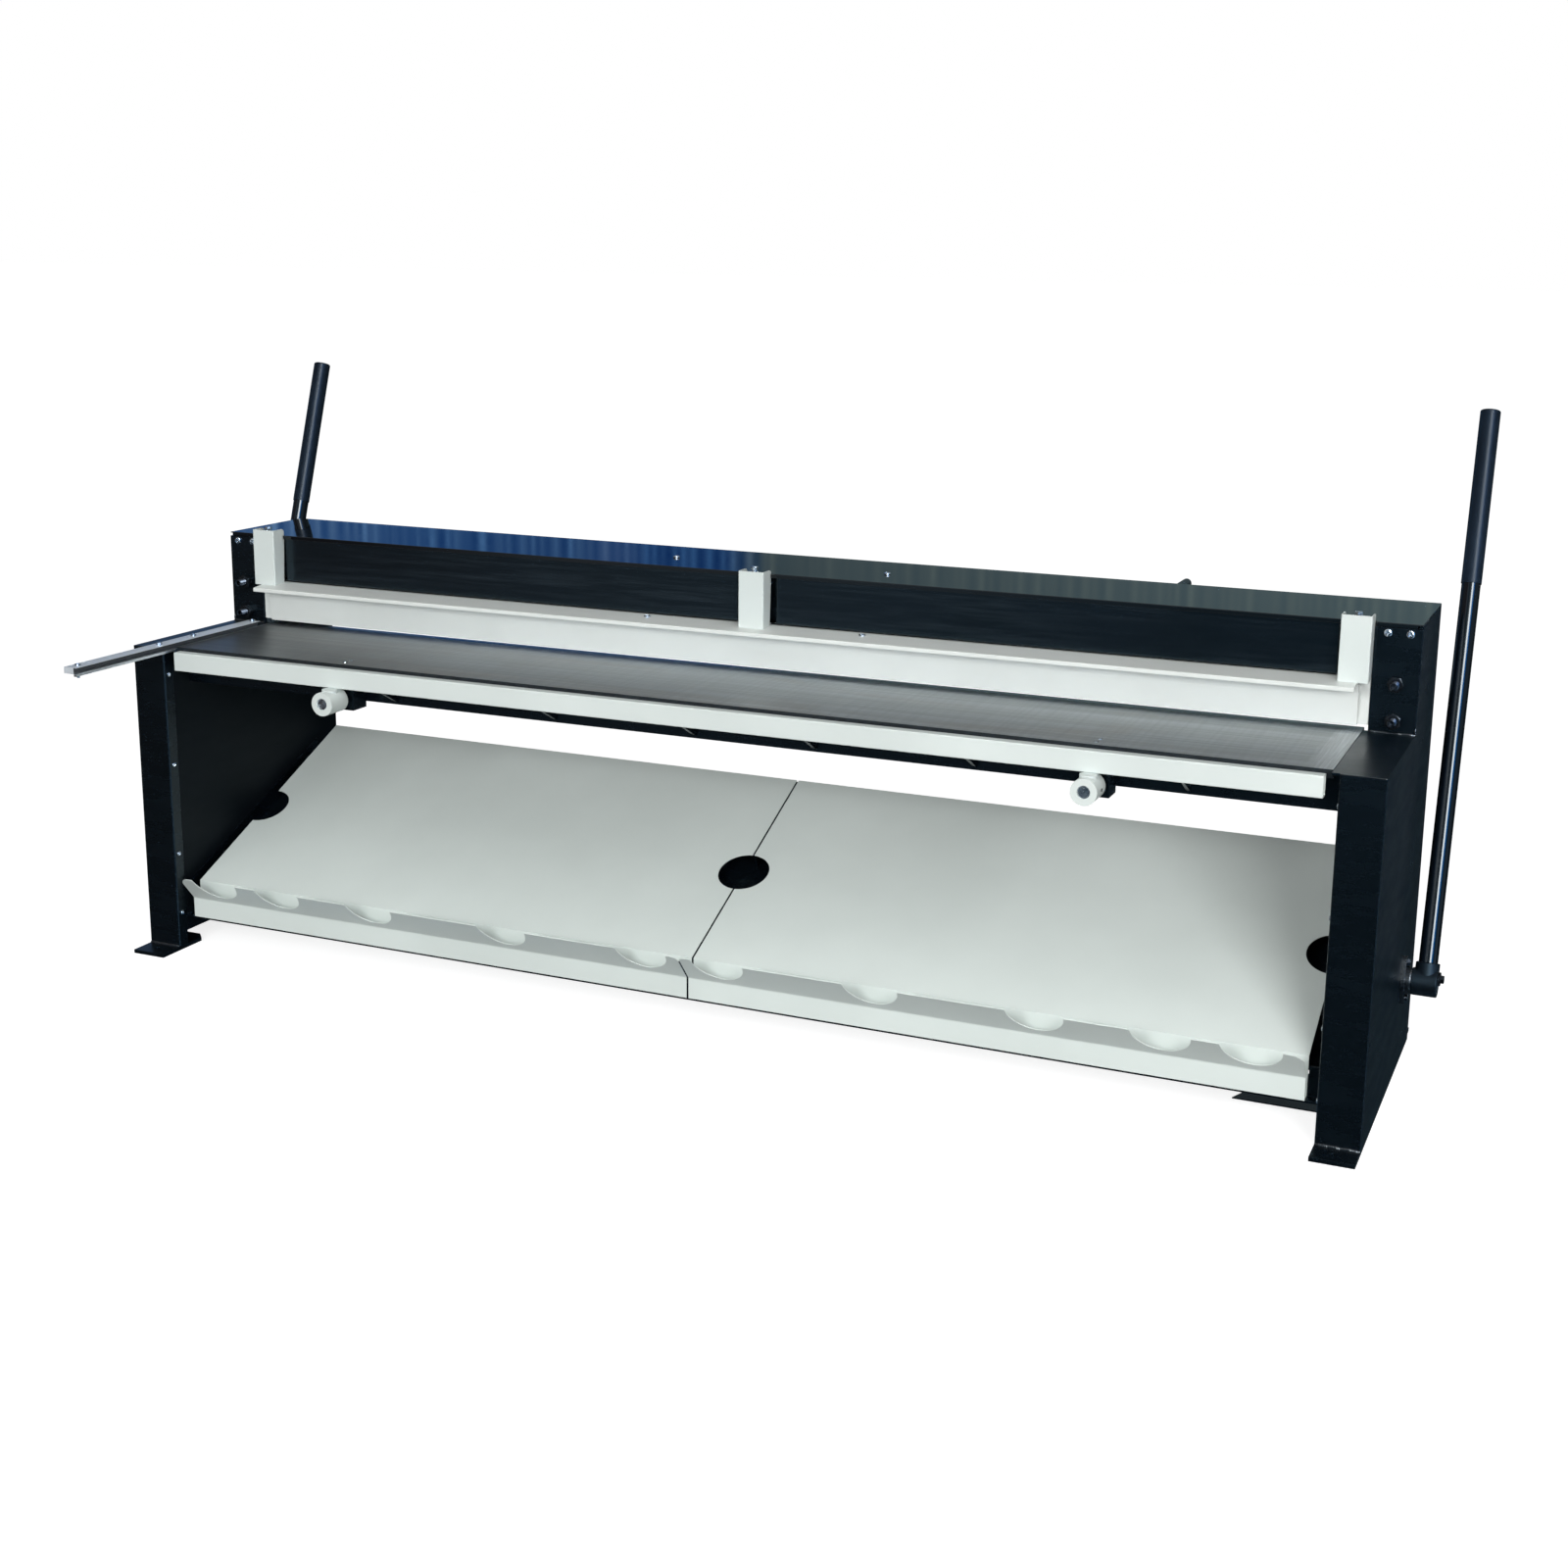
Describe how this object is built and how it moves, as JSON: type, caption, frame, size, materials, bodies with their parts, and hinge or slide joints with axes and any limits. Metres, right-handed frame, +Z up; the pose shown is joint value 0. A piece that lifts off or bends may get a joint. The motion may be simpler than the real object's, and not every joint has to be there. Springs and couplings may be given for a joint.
{
  "type": "guillotine shear",
  "caption": "Free-standing sheet metal guillotine shear with a long blade worked by two side levers, a sprung hold-down, a sliding sheet support and a catch chute.",
  "frame": {"origin": "centre of the machine's footprint box, on the floor under the feet", "axes": "+X along the blade to the operator's right, +Y from the operator to the rear, +Z up"},
  "size_m": [3.492, 1.3474, 1.5588],
  "materials": {
    "black_paint": "satin black powder coat",
    "gloss_black_paint": "gloss black paint",
    "white_paint": "light grey-white powder coat",
    "ground_steel": "planed and ground steel, oiled",
    "blade_steel": "ground tool steel",
    "bright_steel": "turned bright steel",
    "zinc_screws": "zinc plated",
    "black_oxide_screws": "black oxide",
    "aluminium": "drawn and anodised",
    "brass": "milled",
    "grip_sleeve": "satin black sleeve",
    "bearing_iron": "painted cast iron",
    "spring_steel": "spring wire"
  },
  "bodies": {
    "frame": {"outer_panel_right": "black_paint", "outer_panel_left": "black_paint", "leg_right": "black_paint", "leg_left": "black_paint", "inner_panel_right": "black_paint", "inner_panel_left": "black_paint", "upright_right": "black_paint", "upright_left": "black_paint", "foot_plates": "black_paint", "floor_plate": "black_paint", "table_plate": "ground_steel", "table_beam": "black_paint", "table_ribs": "black_paint", "blade_seat_beam": "black_paint", "lower_blade": "blade_steel", "lower_blade_screws": "black_oxide_screws", "squaring_arm": "aluminium", "arm_edge_strip": "aluminium", "arm_screws": "zinc_screws", "rail_guide_blocks": "black_paint", "top_cover": "black_paint", "front_panel_right": "black_paint", "front_panel_left": "black_paint", "top_beam": "black_paint", "rear_tie_tube": "black_paint", "front_tie_bar": "black_paint", "rear_rod": "black_paint", "pan_screws": "zinc_screws", "side_screws": "zinc_screws", "gib_lock_nuts": "black_oxide_screws", "gib_set_screws": "black_oxide_screws", "gib_strips": "brass", "flange_bearings": "bearing_iron", "bearing_bolts": "black_oxide_screws", "chute_supports": "black_paint"},
    "lever_shaft": {"torsion_shaft": "bright_steel", "lever_tube_right": "gloss_black_paint", "lever_tube_left": "gloss_black_paint", "lever_grips": "grip_sleeve", "lever_hubs": "black_paint", "hub_bolts": "black_oxide_screws", "cranks": "black_paint", "crank_pins": "bright_steel"},
    "links": {"drive_links": "bright_steel"},
    "blade_carriage": {"blade_beam": "black_paint", "upper_blade": "blade_steel", "upper_blade_screws": "black_oxide_screws", "guide_shoes": "bright_steel", "link_pins": "bright_steel"},
    "hold_down": {"hold_down_bar": "white_paint", "lip_plate": "white_paint", "hold_down_brackets": "white_paint", "spring_bolts": "zinc_screws", "hold_down_springs": "spring_steel"},
    "sheet_support": {"front_rail": "white_paint", "rail_collars": "white_paint", "rail_rods": "bright_steel"},
    "chute_half_right": {"chute_right": "white_paint"},
    "chute_half_left": {"chute_left": "white_paint"}
  },
  "joints": [
    {"name": "lever_swing", "type": "hinge", "parent": "frame", "child": "lever_shaft", "pos_m": [0, 0.21377, 0.232], "axis": [1, 0, 0], "range_deg": [0, 60], "stiffness_Nm_per_rad": 420, "springref_deg": -28.65},
    {"name": "link_pivot", "type": "hinge", "parent": "lever_shaft", "child": "links", "pos_m": [0, 0.15574, 0.2655], "axis": [1, 0, 0], "range_deg": [-60, 0]},
    {"name": "blade_stroke", "type": "slide", "parent": "frame", "child": "blade_carriage", "axis": [0, 0, -1], "range_m": [0, 0.067]},
    {"name": "hold_down_press", "type": "slide", "parent": "frame", "child": "hold_down", "axis": [0, 0, -1], "range_m": [0, 0.011], "deforming": ["hold_down_springs"]},
    {"name": "sheet_support_slide", "type": "slide", "parent": "frame", "child": "sheet_support", "axis": [0, -1, 0], "range_m": [0, 0.25]},
    {"name": "chute_right_lift_out", "type": "slide", "parent": "frame", "child": "chute_half_right", "axis": [0, -1, 0], "range_m": [0, 0.4]},
    {"name": "chute_left_lift_out", "type": "slide", "parent": "frame", "child": "chute_half_left", "axis": [0, -1, 0], "range_m": [0, 0.4]}
  ],
  "couplings": [
    {"joint": "link_pivot", "follows": "lever_swing", "ratio": -1},
    {"joint": "blade_stroke", "follows": "lever_swing", "m_per_rad": 0.06398},
    {"joint": "hold_down_press", "follows": "lever_swing", "m_per_rad": 0.010504}
  ]
}
